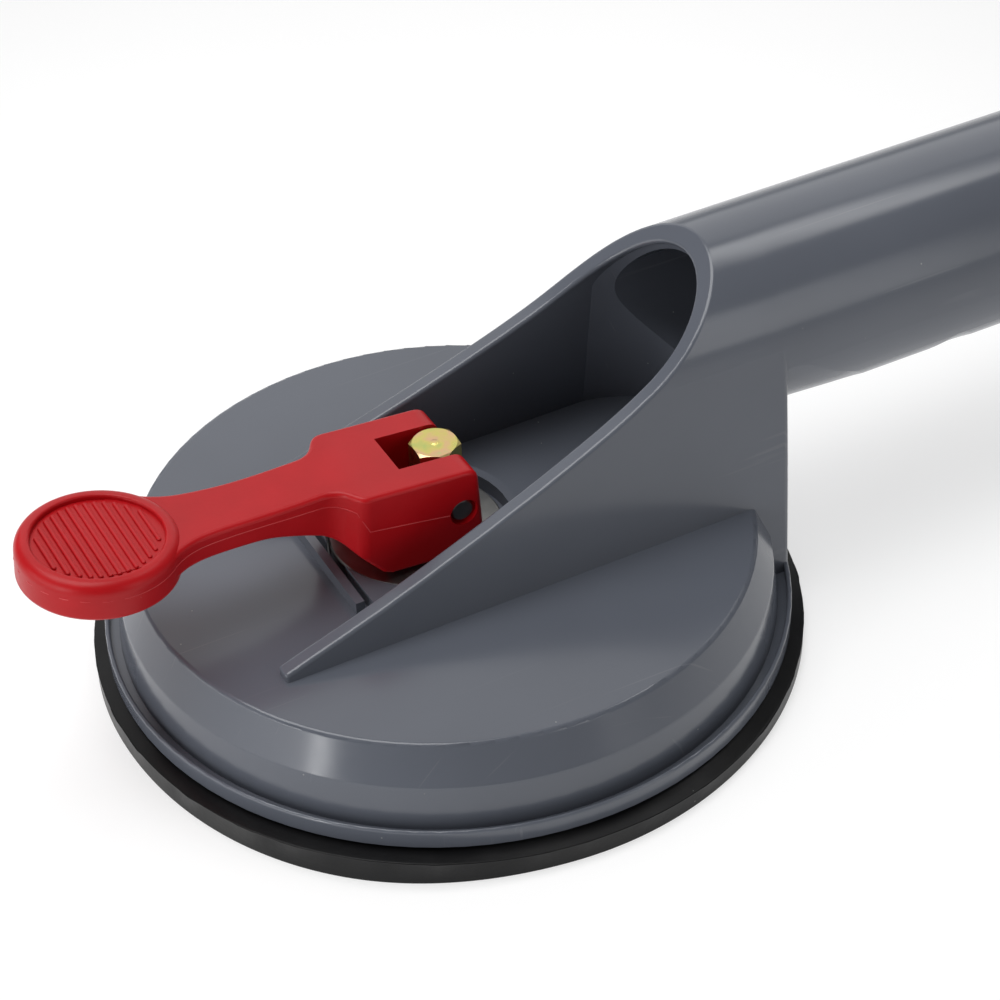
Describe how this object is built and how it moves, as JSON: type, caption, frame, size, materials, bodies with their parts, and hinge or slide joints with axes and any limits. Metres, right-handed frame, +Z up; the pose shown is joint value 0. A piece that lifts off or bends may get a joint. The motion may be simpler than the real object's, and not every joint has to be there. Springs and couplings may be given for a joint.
{
  "type": "suction grab bar",
  "caption": "Portable grab bar: a hollow grey handle moulded with a suction cup housing at each end, rubber pads and red cam levers that clamp them.",
  "frame": {"origin": "on the surface the cups stand on, halfway between the two cups", "axes": "+X along the bar from cup a to cup b, +Y across the bar, +Z up, away from the surface"},
  "size_m": [0.3496, 0.1198, 0.0622],
  "materials": {
    "grey_plastic": "semi-gloss",
    "rubber": "satin",
    "red_plastic": "gloss",
    "yellow_zinc": "yellow passivated zinc",
    "steel": "bright zinc"
  },
  "bodies": {
    "bar": {"body": "grey_plastic", "wear_washer_a": "steel", "wear_washer_b": "steel", "suction_pad_a": "rubber", "suction_pad_b": "rubber"},
    "stud_unit_a": {"hex_stud_a": "yellow_zinc", "insert_plate_a": "steel", "pivot_pin_a": "steel"},
    "stud_unit_b": {"hex_stud_b": "yellow_zinc", "insert_plate_b": "steel", "pivot_pin_b": "steel"},
    "clamp_lever_a": {"lever_a": "red_plastic"},
    "clamp_lever_b": {"lever_b": "red_plastic"}
  },
  "joints": [
    {"name": "stud_slide_a", "type": "slide", "parent": "bar", "child": "stud_unit_a", "axis": [0, 0, 1], "range_m": [-0.0045, 0], "deforming": ["suction_pad_a"]},
    {"name": "lever_hinge_a", "type": "hinge", "parent": "stud_unit_a", "child": "clamp_lever_a", "pos_m": [-0.104, 0, 0.031], "axis": [0, 1, 0], "range_deg": [0, 85]},
    {"name": "stud_slide_b", "type": "slide", "parent": "bar", "child": "stud_unit_b", "axis": [0, 0, 1], "range_m": [-0.0045, 0], "deforming": ["suction_pad_b"]},
    {"name": "lever_hinge_b", "type": "hinge", "parent": "stud_unit_b", "child": "clamp_lever_b", "pos_m": [0.104, 0, 0.031], "axis": [0, -1, 0], "range_deg": [0, 85]}
  ],
  "couplings": [
    {"joint": "lever_hinge_a", "follows": "stud_slide_a", "rad_per_m": -329.67},
    {"joint": "lever_hinge_b", "follows": "stud_slide_b", "rad_per_m": -329.67}
  ]
}
